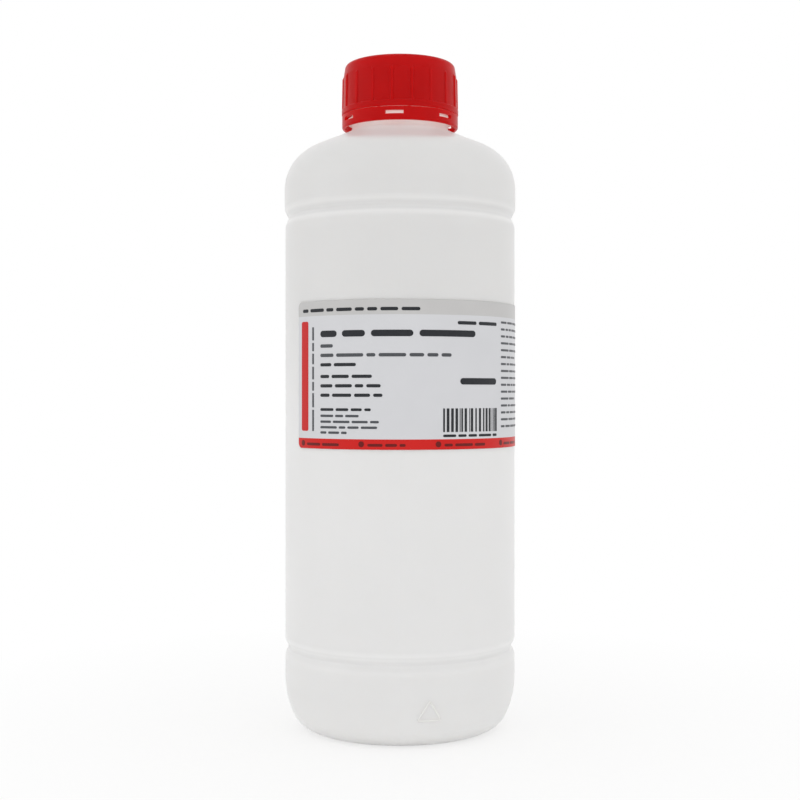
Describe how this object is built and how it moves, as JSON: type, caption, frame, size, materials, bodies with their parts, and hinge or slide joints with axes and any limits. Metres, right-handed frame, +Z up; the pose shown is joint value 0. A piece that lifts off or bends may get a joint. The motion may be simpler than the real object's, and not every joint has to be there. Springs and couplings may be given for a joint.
{
  "type": "solution bottle",
  "caption": "Milky blow-moulded solution bottle with a domed shoulder, ribbed screw cap with foam liner, drop-down tamper ring and wrap-round label.",
  "frame": {"origin": "on the bottle's axis, in the plane of the standing ring that it rests on", "axes": "+Z up along the bottle's axis towards the cap, -Y out of the label's front, +X to the right seen from the front"},
  "size_m": [0.084, 0.0841, 0.2408],
  "materials": {
    "milky_polyethylene": "satin",
    "red_plastic": "satin",
    "white_foam": "matte",
    "label_film": "satin"
  },
  "bodies": {
    "bottle": {"bottle_body": "milky_polyethylene", "wrap_label": "label_film"},
    "liner": {"cap_liner": "white_foam"},
    "cap": {"screw_cap": "red_plastic"},
    "ring": {"tamper_band": "red_plastic"}
  },
  "joints": [
    {"name": "cap_lift", "type": "slide", "parent": "bottle", "child": "liner", "axis": [0, 0, 1], "range_m": [0, 0.0252]},
    {"name": "cap_turn", "type": "hinge", "parent": "liner", "child": "cap", "pos_m": [0, 0, 0.23], "axis": [0, 0, 1], "range_deg": [0, 2160]},
    {"name": "ring_drop", "type": "slide", "parent": "bottle", "child": "ring", "axis": [0, 0, -1], "range_m": [0, 0.0018]}
  ],
  "couplings": [
    {"joint": "cap_lift", "follows": "cap_turn", "m_per_rad": 0.00066845}
  ]
}
